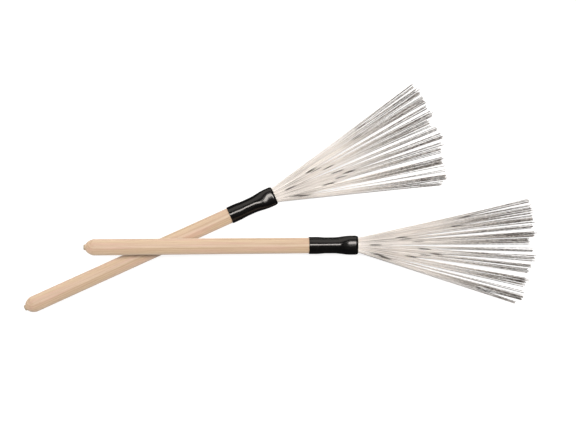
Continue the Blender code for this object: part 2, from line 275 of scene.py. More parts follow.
class ShaderBench(Bench):
    """A material under construction, whose pattern follows a brush's own frame."""

    def __init__(self, name: str, place: BrushFrame | None = None) -> None:
        """Starts a material.

        Args:
            name: The material's name.
            place: The brush that its pattern follows, or None for the row's frame.
        """
        self.material = bpy.data.materials.new(name)
        self.material.use_nodes = True
        super().__init__(self.material.node_tree)
        self.shader = self.tree.nodes["Principled BSDF"]
        found = self.add("ShaderNodeTexCoord")
        mapping = self.add("ShaderNodeMapping", {"Vector": found.outputs["Object"]})
        if place is not None:
            inverse = place.matrix.inverted()
            mapping.inputs["Location"].default_value = inverse.translation
            mapping.inputs["Rotation"].default_value = inverse.to_euler()
        self.point = mapping.outputs["Vector"]

    def stretched(self, scale: tuple[float, float, float], tilt: float = 0.0) -> Socket:
        """Gives the brush's coordinates, tilted about its axis and then scaled."""
        turned = self.add("ShaderNodeMapping", {"Vector": self.point, "Rotation": (tilt, 0.0, 0.0)})
        scaled = self.add("ShaderNodeMapping", {"Vector": turned.outputs["Vector"], "Scale": scale})
        return scaled.outputs["Vector"]

    def noise(self, grain: Grain, tilt: float = 0.0) -> Socket:
        """Adds a noise pattern."""
        vector = self.stretched(grain.scale, tilt)
        inputs = {"Vector": vector, "Scale": 1.0, "Detail": grain.detail, "Roughness": grain.rough}
        return self.add("ShaderNodeTexNoise", inputs).outputs["Fac"]

    def remap(self, value: Socket, span: Span) -> Socket:
        """Turns a pattern's values into an amount, and clamps it."""
        inputs = {0: value, 1: span.low, 2: span.high, 3: span.least, 4: span.most}
        return self.add("ShaderNodeMapRange", inputs).outputs["Result"]

    def mix(self, share: Socket, first: Socket | Colour, second: Socket | Colour) -> Socket:
        """Mixes two colours."""
        made = self.add("ShaderNodeMix", data_type="RGBA")
        self.feed(made.inputs["Factor"], share)
        colours = [socket for socket in made.inputs if socket.type == "RGBA"]
        for socket, value in zip(colours, (first, second)):
            self.feed(socket, (*value, 1.0) if isinstance(value, tuple) else value)
        return next(socket for socket in made.outputs if socket.type == "RGBA")

    def bump(self, height: Socket, depth: float, strength: float = 1.0) -> None:
        """Gives the surface a relief of the stated depth in metres."""
        inputs = {"Height": height, "Distance": depth, "Strength": strength}
        made = self.add("ShaderNodeBump", inputs)
        self.feed(self.shader.inputs["Normal"], made.outputs["Normal"])

    def set(self, **values: NodeInput) -> None:
        """Sets or links the shader's inputs, with underscores for the spaces in their names."""
        for name, value in values.items():
            self.feed(self.shader.inputs[name.replace("_", " ")], value)


@dataclass(frozen=True)
class TurnedWood:
    """Pale straight-grained wood under a thin satin lacquer, with painted shade in grey over the nub at the butt.
    """

    early: Colour = (0.565, 0.448, 0.312)
    late: Colour = (0.425, 0.285, 0.172)
    blush: Colour = (0.570, 0.402, 0.312)
    fibre: Colour = (0.385, 0.245, 0.155)
    # painted shade: the grey over the nub at the butt
    nub_shade: Colour = (0.330, 0.290, 0.200)
    ring_tilt: float = math.radians(35)
    ring_scale: tuple[float, float, float] = (2.2, 60.0, 1 / (1.5 * MM))
    wave_scale: float = 0.314
    wave_distortion: float = 2.4
    wave_detail: float = 2.0
    wave_detail_scale: float = 0.6
    late_share: Span = Span(0.25, 1.0, 0.0, 0.75)
    bands: Grain = Grain((22, 620, 620), 2.0, 0.55)
    band_share: Span = Span(0.5, 0.66, 0.0, 0.8)
    wander: Grain = Grain((9, 160, 160), 2.0)
    blush_share: Span = Span(0.42, 0.68, 0.0, 0.45)
    fibres: Grain = Grain((1 / (22 * MM), 1250, 1250), 6.0, 0.7)
    fibre_share: Span = Span(0.44, 0.72, 0.0, 0.55)
    pores: Grain = Grain((625, 3125, 3125), 1.0)
    pore_share: Span = Span(0.66, 0.76, 0.0, 0.45)
    nub_shade_share: Span = Span(-217.3 * MM, -218.9 * MM, 0.0, 0.85)
    roughness: Span = Span(0.3, 0.7, 0.44, 0.58)
    pore_depth: float = -0.8
    relief: float = 0.03 * MM

    def material(self, place: BrushFrame) -> bpy.types.Material:
        """Builds the material for one brush's handle."""
        bench = ShaderBench(place.name("turned_wood"), place)
        rings = bench.add(
            "ShaderNodeTexWave",
            {
                "Vector": bench.stretched(self.ring_scale, self.ring_tilt),
                "Scale": self.wave_scale,
                "Distortion": self.wave_distortion,
                "Detail": self.wave_detail,
                "Detail Scale": self.wave_detail_scale,
            },
            bands_direction="Z",
            wave_profile="SAW",
        )
        colour = bench.mix(bench.remap(rings.outputs["Fac"], self.late_share), self.early, self.late)
        colour = bench.mix(bench.remap(bench.noise(self.bands), self.band_share), colour, self.blush)
        wander = bench.noise(self.wander, self.ring_tilt)
        colour = bench.mix(bench.remap(wander, self.blush_share), colour, self.blush)
        fibres = bench.noise(self.fibres)
        colour = bench.mix(bench.remap(fibres, self.fibre_share), colour, self.fibre)
        flecks = bench.remap(bench.noise(self.pores), self.pore_share)
        colour = bench.mix(flecks, colour, self.fibre)
        along = bench.add("ShaderNodeSeparateXYZ", {"Vector": bench.point}).outputs["X"]
        bench.set(
            # painted shade: the nub at the butt is mixed towards grey
            Base_Color=bench.mix(bench.remap(along, self.nub_shade_share), colour, self.nub_shade),
            Roughness=bench.remap(fibres, self.roughness),
            Diffuse_Roughness=1.0,
            Coat_Weight=0.3,
            Coat_Roughness=0.42,
            Specular_IOR_Level=0.75,
            Sheen_Weight=0.2,
            Sheen_Roughness=0.4,
        )
        sunk = bench.maths("MULTIPLY", flecks, self.pore_depth)
        bench.bump(bench.maths("ADD", fibres, sunk), self.relief)
        return bench.material


@dataclass(frozen=True)
class DippedVinyl:
    """Glossy black vinyl, a little uneven as dipped vinyl is."""

    black: Colour = (0.0014, 0.0013, 0.0014)
    bloom: Colour = (0.0042, 0.0038, 0.0036)
    dust: Colour = (0.030, 0.028, 0.026)
    waves: Grain = Grain((95, 150, 150), 2.0, 0.45)
    skin: Grain = Grain((1600, 1600, 1600), 3.0, 0.6)
    skin_depth: float = 0.03
    smears: Grain = Grain((60, 420, 420), 4.0, 0.65)
    smear_share: Span = Span(0.5, 0.75, 0.0, 0.8)
    specks: Grain = Grain((2600, 2600, 2600), 0.0)
    speck_share: Span = Span(0.72, 0.78, 0.0, 0.5)
    roughness: Span = Span(0.35, 0.75, 0.13, 0.27)
    relief: float = 0.02 * MM

    def material(self, place: BrushFrame) -> bpy.types.Material:
        """Builds the material for one brush's sleeve."""
        bench = ShaderBench(place.name("dipped_vinyl"), place)
        smears = bench.noise(self.smears)
        hazed = bench.mix(bench.remap(smears, self.smear_share), self.black, self.bloom)
        specks = bench.remap(bench.noise(self.specks), self.speck_share)
        bench.set(
            Base_Color=bench.mix(specks, hazed, self.dust),
            Roughness=bench.remap(smears, self.roughness),
            Specular_IOR_Level=0.5,
            Coat_Weight=0.35,
            Coat_Roughness=0.1,
        )
        skin = bench.maths("MULTIPLY", bench.noise(self.skin), self.skin_depth)
        bench.bump(bench.maths("ADD", bench.noise(self.waves), skin), self.relief)
        return bench.material


@dataclass(frozen=True)
class DrawnWire:
    """Bright spring wire with drawing marks, darker towards its tip, with painted shadow deep in the pack near the
    mouth and at the start of each slit.
    """

    bright: Colour = (0.96, 0.94, 0.92)
    warm: Colour = (0.88, 0.835, 0.79)
    dark_tone: Colour = (0.110, 0.095, 0.086)
    # deep: the painted shadow's colour
    deep: Colour = (0.075, 0.066, 0.058)
    tip_darkening: Span = Span(0.44, 0.88)
    wire_share: Span = Span(0.0, 1.0, 0.75, 1.2)
    patches: Grain = Grain((420, 1500, 1500), 2.0, 0.6)
    patch_share: Span = Span(0.36, 0.64, 0.3, 1.2)
    marks: Grain = Grain((240, 7000, 7000), 3.0, 0.6)
    mark_share: Span = Span(0.55, 0.8, 0.0, 0.35)
    roughness: Span = Span(0.3, 0.7, 0.34, 0.54)
    relief: float = 0.006 * MM

    def material(self, place: BrushFrame) -> bpy.types.Material:
        """Builds the material for one brush's wires."""
        bench = ShaderBench(place.name("drawn_wire"), place)
        reach, tint, shade = (
            bench.add("ShaderNodeAttribute", attribute_name=name).outputs["Fac"]
            for name in ("reach", "tint", "shade")
        )
        patchy = bench.remap(bench.noise(self.patches), self.patch_share)
        patchy = bench.maths("MULTIPLY", bench.remap(tint, self.wire_share), patchy)
        # darker towards the tip, by reach, in random patches
        darkened = bench.maths("MULTIPLY", bench.remap(reach, self.tip_darkening), patchy)
        colour = bench.mix(darkened, bench.mix(tint, self.bright, self.warm), self.dark_tone)
        # painted shadow: the shade attribute darkens the colour towards deep
        colour = bench.mix(shade, colour, self.deep)
        marks = bench.noise(self.marks)
        bench.set(
            Base_Color=bench.mix(bench.remap(marks, self.mark_share), colour, self.dark_tone),
            Metallic=0.65,
            Roughness=bench.remap(marks, self.roughness),
        )
        bench.bump(marks, self.relief)
        return bench.material


@dataclass(frozen=True)
class TubeSteel:
    """Drawn steel tube or rod with fine marks along it and a little tarnish."""

    name: str = "tube_steel"
    steel: Colour = (0.60, 0.595, 0.58)
    tarnish: Colour = (0.34, 0.29, 0.24)
    marks: Grain = Grain((120, 4200, 4200), 4.0, 0.6)
    clouds: Grain = Grain((300, 300, 300), 4.0, 0.6)
    tarnish_share: Span = Span(0.48, 0.8, 0.0, 0.6)
    roughness: Span = Span(0.3, 0.7, 0.25, 0.45)
    relief: float = 0.01 * MM

    def material(self, place: BrushFrame) -> bpy.types.Material:
        """Builds the material for one brush's ferrule or pin."""
        bench = ShaderBench(place.name(self.name), place)
        marks = bench.noise(self.marks)
        share = bench.remap(bench.noise(self.clouds), self.tarnish_share)
        bench.set(
            Base_Color=bench.mix(share, self.steel, self.tarnish),
            Metallic=1.0,
            Roughness=bench.remap(marks, self.roughness),
        )
        bench.bump(marks, self.relief)
        return bench.material


PIN_STEEL = TubeSteel("pin_steel", (0.52, 0.51, 0.50), marks=Grain((3800, 120, 3800), 4.0, 0.6))
"""The pin's finish, whose marks run across the brush."""


@dataclass(frozen=True)
class PottingResin:
    """Amber casting resin with small bubbles."""

    amber: Colour = (0.46, 0.30, 0.12)
    pale: Colour = (0.62, 0.47, 0.26)
    clouds: Grain = Grain((420, 420, 420), 3.0)
    roughness: Span = Span(0.3, 0.7, 0.18, 0.34)
    bubble_scale: tuple[float, float, float] = (1700.0, 1700.0, 1700.0)
    bubble_size: Span = Span(0.0, 0.28)
    relief: float = 0.05 * MM

    def material(self, place: BrushFrame) -> bpy.types.Material:
        """Builds the material for one brush's resin."""
        bench = ShaderBench(place.name("potting_resin"), place)
        clouds = bench.noise(self.clouds)
        vector = bench.stretched(self.bubble_scale)
        bubbles = bench.add("ShaderNodeTexVoronoi", {"Vector": vector, "Scale": 1.0})
        bench.set(
            Base_Color=bench.mix(clouds, self.amber, self.pale),
            Roughness=bench.remap(clouds, self.roughness),
            Coat_Weight=0.3,
        )
        bench.bump(bench.remap(bubbles.outputs["Distance"], self.bubble_size), self.relief)
        return bench.material


@dataclass(frozen=True)
class PaleFloor:
    """A plain pale sweep of studio paper."""

    paper: Colour = (0.30, 0.30, 0.30)
    white: Colour = (1.0, 1.0, 1.0)
    glow: float = 0.82
    tooth: Grain = Grain((900, 900, 900), 3.0)
    relief: float = 0.02 * MM
    relief_strength: float = 0.4

    def material(self) -> bpy.types.Material:
        """Builds the floor's material."""
        bench = ShaderBench("pale_floor")
        bench.set(
            Base_Color=(*self.paper, 1.0),
            Roughness=0.85,
            Specular_IOR_Level=0.15,
            Emission_Color=(*self.white, 1.0),
            Emission_Strength=self.glow,
        )
        bench.bump(bench.noise(self.tooth), self.relief, self.relief_strength)
        return bench.material


class GrowerBench(Bench):
    """A Geometry Nodes tree under construction, with one geometry in and one out."""

    def __init__(self, name: str, sockets: Mapping[str, str]) -> None:
        """Starts a tree.

        Args:
            name: The tree's name.
            sockets: The type of each named input besides the geometry.
        """
        tree = bpy.data.node_groups.new(name, "GeometryNodeTree")
        super().__init__(tree)
        tree.interface.new_socket("Geometry", in_out="INPUT", socket_type="NodeSocketGeometry")
        for title, kind in sockets.items():
            tree.interface.new_socket(title, in_out="INPUT", socket_type=kind)
        tree.interface.new_socket("Geometry", in_out="OUTPUT", socket_type="NodeSocketGeometry")
        self.given = self.add("NodeGroupInput").outputs
        self.result = self.add("NodeGroupOutput").inputs["Geometry"]

    def named(self, attribute: str, kind: str = "FLOAT") -> Socket:
        """Reads an attribute of the geometry."""
        made = self.add("GeometryNodeInputNamedAttribute", {"Name": attribute}, data_type=kind)
        return made.outputs["Attribute"]

    def sweep(self, curve: Socket, ring: Mapping[str, NodeInput], **inputs: NodeInput) -> None:
        """Sweeps a circle along a curve, and ends the tree with the result in its finish.

        Args:
            curve: The curve to follow.
            ring: The circle's inputs.
            inputs: More inputs of the sweep.
        """
        circle = self.add("GeometryNodeCurvePrimitiveCircle", ring)
        ends = {"Curve": curve, "Profile Curve": circle.outputs["Curve"], "Fill Caps": True}
        swept = self.add("GeometryNodeCurveToMesh", ends | inputs)
        real = self.add("GeometryNodeRealizeInstances", {"Geometry": swept.outputs["Mesh"]})
        dressed = self.add(
            "GeometryNodeSetMaterial",
            {"Geometry": real.outputs["Geometry"], "Material": self.given["Finish"]},
        )
        self.feed(self.result, dressed.outputs["Geometry"])

    def run(
        self, name: str, mesh: bpy.types.Mesh, values: Mapping[str, object]
    ) -> bpy.types.Object:
        """Runs the tree on a mesh, and gives the result as a plain object.

        Args:
            name: The new object's name.
            mesh: The mesh that the tree starts from.
            values: The value of each named input.

        Returns:
            An object with a plain mesh and no modifier.
        """
        seed = add_object(name + "_seed", mesh)
        modifier = seed.modifiers.new("grow", "NODES")
        modifier.node_group = self.tree
        for item in self.tree.interface.items_tree:
            if item.name in values:
                modifier[item.identifier] = values[item.name]
        graph = bpy.context.evaluated_depsgraph_get()
        grown = bpy.data.meshes.new_from_object(seed.evaluated_get(graph))
        seed.modifiers.remove(modifier)
        bpy.data.objects.remove(seed)
        grown.name = name
        return add_object(name, grown)


def live(sockets: Iterable[Socket], name: str) -> Socket:
    """Finds the socket in use among those of one name."""
    return next(socket for socket in sockets if socket.enabled and socket.name == name)


def wire_grower() -> GrowerBench:
    """Builds the tree that sweeps a round wire along every spine of a mesh.

    Returns:
        The tree, whose spines carry the attributes wire and reach.
    """
    decimals = ("Wire Radius", "Bow", "Tip Drift", "Stray")
    wholes = ("Sides", "Steps", "Seed")
    sockets = {name: "NodeSocketFloat" for name in decimals}
    sockets |= {name: "NodeSocketInt" for name in wholes}
    bench = GrowerBench("wire_grower", sockets | {"Finish": "NodeSocketMaterial"})
    given = bench.given
    spines = bench.add("GeometryNodeMeshToCurve", {"Mesh": given["Geometry"]})
    even = bench.add(
        "GeometryNodeResampleCurve", {"Curve": spines.outputs["Curve"], "Count": given["Steps"]}
    )
    wire = bench.named("wire", "INT")
    reach = bench.named("reach")
    hump = bench.maths("MULTIPLY", reach, bench.maths("SUBTRACT", 1.0, reach))
    bowed = bench.maths("MULTIPLY", hump, given["Bow"])
    own = {"ID": wire, "Seed": given["Seed"]}
    chance = live(bench.add("FunctionNodeRandomValue", own, data_type="FLOAT").outputs, "Value")
    rare = bench.maths("POWER", chance, STRAY_POWER)
    strayed = bench.maths("MULTIPLY_ADD", rare, given["Stray"], given["Tip Drift"])
    drifted = bench.maths("MULTIPLY", bench.maths("POWER", reach, LATE_POWER), strayed)
    offsets = []
    for turn, amount in enumerate((bowed, drifted)):
        own = {"ID": wire, "Seed": bench.maths("ADD", given["Seed"], float(turn))}
        reaches = {"Min": (-1.0, -1.0, -SAG), "Max": (1.0, 1.0, LIFT)}
        way = bench.add("FunctionNodeRandomValue", own | reaches, data_type="FLOAT_VECTOR")
        inputs = {0: way.outputs["Value"], "Scale": amount}
        offset = bench.add("ShaderNodeVectorMath", inputs, operation="SCALE")
        offsets.append(offset.outputs["Vector"])
    both = bench.add("ShaderNodeVectorMath", dict(enumerate(offsets)), operation="ADD")
    moved = bench.add(
        "GeometryNodeSetPosition",
        {"Geometry": even.outputs["Curve"], "Offset": both.outputs["Vector"]},
    )
    tinted = bench.add(
        "GeometryNodeStoreNamedAttribute",
        {"Geometry": moved.outputs["Geometry"], "Name": "tint"},
        data_type="FLOAT",
        domain="POINT",
    )
    bench.feed(live(tinted.inputs, "Value"), chance)
    profile = {"Resolution": given["Sides"], "Radius": given["Wire Radius"]}
    bench.sweep(tinted.outputs["Geometry"], profile)
    return bench


def lathe() -> GrowerBench:
    """Builds the tree that turns a round form, from a line along its axis that carries radii.

    Returns:
        The tree, whose line carries the attribute turned_radius.
    """
    bench = GrowerBench("lathe", {"Segments": "NodeSocketInt", "Finish": "NodeSocketMaterial"})
    line = bench.add("GeometryNodeMeshToCurve", {"Mesh": bench.given["Geometry"]})
    profile = {"Resolution": bench.given["Segments"], "Radius": 1.0}
    bench.sweep(line.outputs["Curve"], profile, Scale=bench.named("turned_radius"))
    return bench


def line_mesh(name: str, lines: Iterable[Sequence[Vector]]) -> bpy.types.Mesh:
    """Makes a mesh of open lines, each through its own points.

    Args:
        name: The mesh's name.
        lines: The points of each line.

    Returns:
        A mesh of vertices and edges only, in the order of the points.
    """
    points: list[Vector] = []
    edges: list[tuple[int, int]] = []
    for line in lines:
        first = len(points)
        points.extend(line)
        edges.extend((i, i + 1) for i in range(first, len(points) - 1))
    mesh = bpy.data.meshes.new(name)
    mesh.from_pydata(points, edges, [])
    return mesh


def give_attribute(mesh: bpy.types.Mesh, name: str, kind: str, values: Sequence[float]) -> None:
    """Stores one value for each vertex of a mesh."""
    attribute = mesh.attributes.new(name, kind, "POINT")
    attribute.data.foreach_set("value", values)


def finish_piece(
    piece: bpy.types.Object,
    sharp: float | None = None,
    material: bpy.types.Material | None = None,
) -> None:
    """Shades a piece smooth, keeps its sharp edges and turns its faces outwards.

    Args:
        piece: The piece to finish.
        sharp: The angle in radians past which an edge stays sharp, or None for no such edge.
        material: The material to give it, where it has none.
    """
    mesh = piece.data
    bm = bmesh.new()
    bm.from_mesh(mesh)
    bmesh.ops.recalc_face_normals(bm, faces=bm.faces)
    bm.to_mesh(mesh)
    bm.free()
    mesh.shade_smooth()
    if sharp is not None:
        mesh.set_sharp_from_angle(angle=sharp)
    if material is not None:
        mesh.materials.append(material)


@dataclass(frozen=True)
class Oval:
    """One oval section across a brush's axis, whose faces are flatter the higher its power is."""

    along: float
    half_width: float
    half_depth: float
    power: float = ROUND_POWER

    def grown(self, by: float) -> Oval:
        """Gives the same section, larger all round."""
        return replace(self, half_width=self.half_width + by, half_depth=self.half_depth + by)

    def moved(self, along: float) -> Oval:
        """Gives the same section at another place along the axis."""
        return replace(self, along=along)

    def point(self, turn: float) -> Vector:
        """Gives the section's point at a turn about the axis, in the brush's frame."""
        width, depth = math.cos(turn), math.sin(turn)
        root = ROUND_POWER / self.power
        return Vector(
            (
                self.along,
                self.half_width * math.copysign(abs(width) ** root, width),
                self.half_depth * math.copysign(abs(depth) ** root, depth),
            )
        )


@dataclass(frozen=True)
class Part:
    """A part of one brush, which knows where the brush lies."""

    place: BrushFrame

    def hand_over(self, piece: bpy.types.Object, node: str, slot: Slot) -> bpy.types.Object:
        """Lets a piece ride on the brush's handle in place of a CAD node.

        Args:
            piece: The finished piece.
            node: The node that it replaces.
            slot: Its material slot; not used.

        Returns:
            The same piece.
        """
        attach(piece, self.place.body)
        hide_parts(self.place.name(node))
        return piece


@dataclass(frozen=True)
class TurnedHandle(Part):
    """The wooden handle: nub, dome, shank, shoulder and tenon."""

    butt: float = -219.2 * MM
    shank_radius: float = 6.55 * MM
    front_radius: float = 6.2 * MM
    nub_radius: float = 2.3 * MM
    nub_face_radius: float = 1.3 * MM
    nub_length: float = 1.9 * MM
    nub_rounding: float = 1.0 * MM
    nub_steps: int = 5
    dome_radius: float = 2.5 * MM
    dome_length: float = 6.4 * MM
    dome_power: float = 1.5
    shoulder: float = -33.5 * MM
    tenon_length: float = 14.2 * MM
    tenon_radius: float = 5.1 * MM
    tenon_step: float = 0.02 * MM
    edge: float = 0.3 * MM
    sharp: float = math.radians(38)
    segments: int = 96
    dome_steps: int = 16
    shank_steps: int = 24

    def profile(self) -> list[tuple[float, float]]:
        """Gives the handle's outline from butt to tenon.

        Returns:
            Pairs of a place along the axis and a radius there.
        """
        outline = [(self.butt, self.nub_face_radius)]
        for i in range(1, self.nub_steps + 1):
            turn = math.radians(90 * i / self.nub_steps)
            along = self.butt + self.nub_rounding * (1 - math.cos(turn))
            rise = (self.nub_radius - self.nub_face_radius) * math.sin(turn)
            outline.append((along, self.nub_face_radius + rise))
        dome_start = self.butt + self.nub_length
        for i in range(self.dome_steps + 1):
            share = i / self.dome_steps
            rise = (1 - (1 - share) ** self.dome_power) ** (1 / self.dome_power)
            radius = self.dome_radius + rise * (self.shank_radius - self.dome_radius)
            outline.append((dome_start + share * self.dome_length, radius))
        shank_start = dome_start + self.dome_length
        shank_end = self.shoulder - self.edge
        for i in range(1, self.shank_steps + 1):
            share = i / self.shank_steps
            radius = self.shank_radius + share * (self.front_radius - self.shank_radius)
            outline.append((shank_start + share * (shank_end - shank_start), radius))
        tenon_end = self.shoulder + self.tenon_length
        outline += [
            (self.shoulder, self.front_radius - self.edge),
            (self.shoulder + self.tenon_step, self.tenon_radius),
            (tenon_end - self.edge, self.tenon_radius),
            (tenon_end, self.tenon_radius - self.edge),
        ]
        return outline

    def build(self, tree: GrowerBench, wood: TurnedWood) -> bpy.types.Object:
        """Turns the handle and lets it ride on its brush.

        Args:
            tree: The lathe.
            wood: The handle's finish.

        Returns:
            The handle's piece.
        """
        outline = self.profile()
        name = self.place.name("turned_handle")
        line = line_mesh(name, [[self.place.world(along) for along, _ in outline]])
        give_attribute(line, "turned_radius", "FLOAT", [radius for _, radius in outline])
        finish = wood.material(self.place)
        piece = tree.run(name, line, {"Segments": self.segments, "Finish": finish})
        finish_piece(piece, self.sharp)
        return self.hand_over(piece, "handle", Slot.WOOD)


@dataclass(frozen=True)
class Ferrule(Part):
    """The steel tube that is squeezed flat towards its mouth, and what it holds."""

    mouth: float = -1.7 * MM
    length: float = 31.4 * MM
    wall: float = 0.4 * MM
    radius: float = 5.65 * MM
    wood_radius: float = 6.2 * MM
    mouth_half_width: float = 7.0 * MM
    mouth_half_depth: float = 3.6 * MM
    mouth_power: float = 2.35
    spread_start: float = -20.0 * MM
    spread_end: float = -6.0 * MM
    squeeze_start: float = -16.5 * MM
    squeeze_end: float = -5.5 * MM
    sharp: float = math.radians(50)
    steps: int = 40
    segments: int = 72

    def spread(self, along: float) -> float:
        """Tells how far the tube has widened towards its mouth, from 0 to 1."""
        return eased((along - self.spread_start) / (self.spread_end - self.spread_start))

    def section(self, along: float) -> Oval:
        """Gives the tube's outer section at a place along the axis."""
        spread = self.spread(along)
        squeeze = eased((along - self.squeeze_start) / (self.squeeze_end - self.squeeze_start))
        return Oval(
            along,
            self.radius + spread * (self.mouth_half_width - self.radius),
            self.radius + squeeze * (self.mouth_half_depth - self.radius),
            ROUND_POWER + squeeze * (self.mouth_power - ROUND_POWER),
        )

    def bore(self, along: float, gap: float) -> Oval:
        """Gives the bore round the tube, or round the wider wood behind it, at one self.place."""
        if along < self.mouth - self.length:
            return Oval(along, self.wood_radius + gap, self.wood_radius + gap)
        return self.section(along).grown(gap)

    def sections(self) -> list[Oval]:
        """Gives the tube's outer sections from its rear to its mouth."""
        rear = self.mouth - self.length
        places = [rear + self.length * i / self.steps for i in range(self.steps + 1)]
        return [self.section(along) for along in places]

    def build(self, steel: TubeSteel) -> bpy.types.Object:
        """Builds the tube and lets it ride on its brush.

        Args:
            steel: The tube's finish.

        Returns:
            The tube's piece.
        """
        outer = self.sections()
        inner = [oval.grown(-self.wall) for oval in reversed(outer)]
        name = self.place.name("ferrule_tube")
        piece = shell(name, outer + inner, self.place, self.segments)
        finish_piece(piece, self.sharp, steel.material(self.place))
        return self.hand_over(piece, "ferrule", Slot.FERRULE)


def shell(
    name: str,
    loop: Sequence[Oval],
    place: BrushFrame,
    segments: int,
    ripple: float = 0.0,
) -> bpy.types.Object:
    """Builds a closed tube wall from oval sections that run out along it and back inside it.

    Args:
        name: The piece's name.
        loop: The sections in order, of which the last joins the first.
        place: Where the brush lies.
        segments: How many points each section has.
        ripple: How far the surface may wander in and out.

    Returns:
        The new object, with no material.
    """
    bm = bmesh.new()
    rings = []
    for oval in loop:
        ring = []
        for i in range(segments):
            turn = 2 * math.pi * i / segments
            at = oval.point(turn)
            wander = ripple * noise.noise(at * RIPPLES_PER_METRE)
            at += Vector((0.0, math.cos(turn), math.sin(turn))) * wander
            ring.append(bm.verts.new(place.world(*at)))
        rings.append(ring)
    for first, second in zip(rings, rings[1:] + rings[:1]):
        for i in range(segments):
            j = (i + 1) % segments
            bm.faces.new((first[i], first[j], second[j], second[i]))
    mesh = bpy.data.meshes.new(name)
    bm.to_mesh(mesh)
    bm.free()
    return add_object(name, mesh)


@dataclass(frozen=True)
class VinylSleeve(Part):
    """The black sleeve over the front of the handle and the whole ferrule."""

    ferrule: Ferrule
    length: float = 39.3 * MM
    wall: float = 0.5 * MM
    waist_wall: float = 0.62 * MM
    gap: float = 0.14 * MM
    collar_radius: float = 6.84 * MM
    collar_overlap: float = 0.2 * MM
    neck_length: float = 7.0 * MM
    lip_depth: float = 1.4 * MM
    lip_length: float = 2.4 * MM
    inner_chamfer: float = 0.2 * MM
    front_wall: float = 0.5 * MM
    rear_rounding: float = 0.22 * MM
    ripple: float = 0.010 * MM
    steps: int = 60
    lip_steps: int = 12
    rounding_steps: int = 4
    segments: int = 128

    def outer(self, along: float) -> Oval:
        """Gives the sleeve's outer section at a place along the axis."""
        wall = self.waist_wall + self.ferrule.spread(along) * (self.wall - self.waist_wall)
        over = self.ferrule.section(along).grown(self.gap + wall)
        neck = self.ferrule.mouth - self.ferrule.length + self.collar_overlap
        share = eased((along - neck) / self.neck_length)
        return replace(
            over,
            half_width=self.collar_radius + share * (over.half_width - self.collar_radius),
            half_depth=self.collar_radius + share * (over.half_depth - self.collar_radius),
        )

    def loop(self) -> list[Oval]:
        """Gives the whole wall's sections, out along the sleeve and back inside it."""
        rear = -self.length
        lip_start = -self.lip_length
        sections = []
        for i in range(self.rounding_steps, -1, -1):
            turn = math.radians(90 * i / self.rounding_steps)
            oval = self.outer(rear).grown(-self.rear_rounding * (1 - math.cos(turn)))
            sections.append(oval.moved(rear + self.rear_rounding * (1 - math.sin(turn))))
        straight = rear + self.rear_rounding
        for i in range(1, self.steps + 1):
            along = straight + (lip_start - straight) * i / self.steps
            sections.append(self.outer(along))
        for i in range(1, self.lip_steps + 1):
            turn = math.radians(90 * i / self.lip_steps)
            oval = self.outer(lip_start).grown(-self.lip_depth * (1 - math.cos(turn)))
            sections.append(oval.moved(lip_start + self.lip_length * math.sin(turn)))
        opening = sections[-1].grown(-self.front_wall)
        sections.append(opening.grown(self.inner_chamfer).moved(-self.inner_chamfer / 2))
        sections.append(opening.moved(-2 * self.inner_chamfer))
        sections.append(opening.moved(self.ferrule.mouth + self.gap))
        for i in range(self.steps + 1):
            along = self.ferrule.mouth + (rear - self.ferrule.mouth) * i / self.steps
            sections.append(self.ferrule.bore(along, self.gap))
        return sections

    def build(self, vinyl: DippedVinyl) -> bpy.types.Object:
        """Builds the sleeve and lets it ride on its brush.

        Args:
            vinyl: The sleeve's finish.

        Returns:
            The sleeve's piece.
        """
        name = self.place.name("vinyl_sleeve")
        piece = shell(name, self.loop(), self.place, self.segments, self.ripple)
        finish_piece(piece, None, vinyl.material(self.place))
        return self.hand_over(piece, "sleeve", Slot.VINYL)


@dataclass(frozen=True)
class Wire:
    """One wire of a fan, as the straight line that it would follow alone."""

    root: Vector
    tip: Vector

    def at(self, along: float) -> Vector:
        """Gives the straight line's point at a place along the axis."""
        share = (along - self.root.x) / (self.tip.x - self.root.x)
        return self.root.lerp(self.tip, share)


@dataclass(frozen=True)
class Tuft:
    """One tuft: its number, its wires and its edges across the fan."""

    number: int
    wires: tuple[Wire, ...]
    low: float
    high: float

    def depth(self, wire: Wire) -> float:
        """Tells how deep in the tuft a wire lies, from 0 at its top to 1 at its bottom."""
        heights = [other.root.z for other in self.wires]
        return (max(heights) - wire.root.z) / (max(heights) - min(heights))


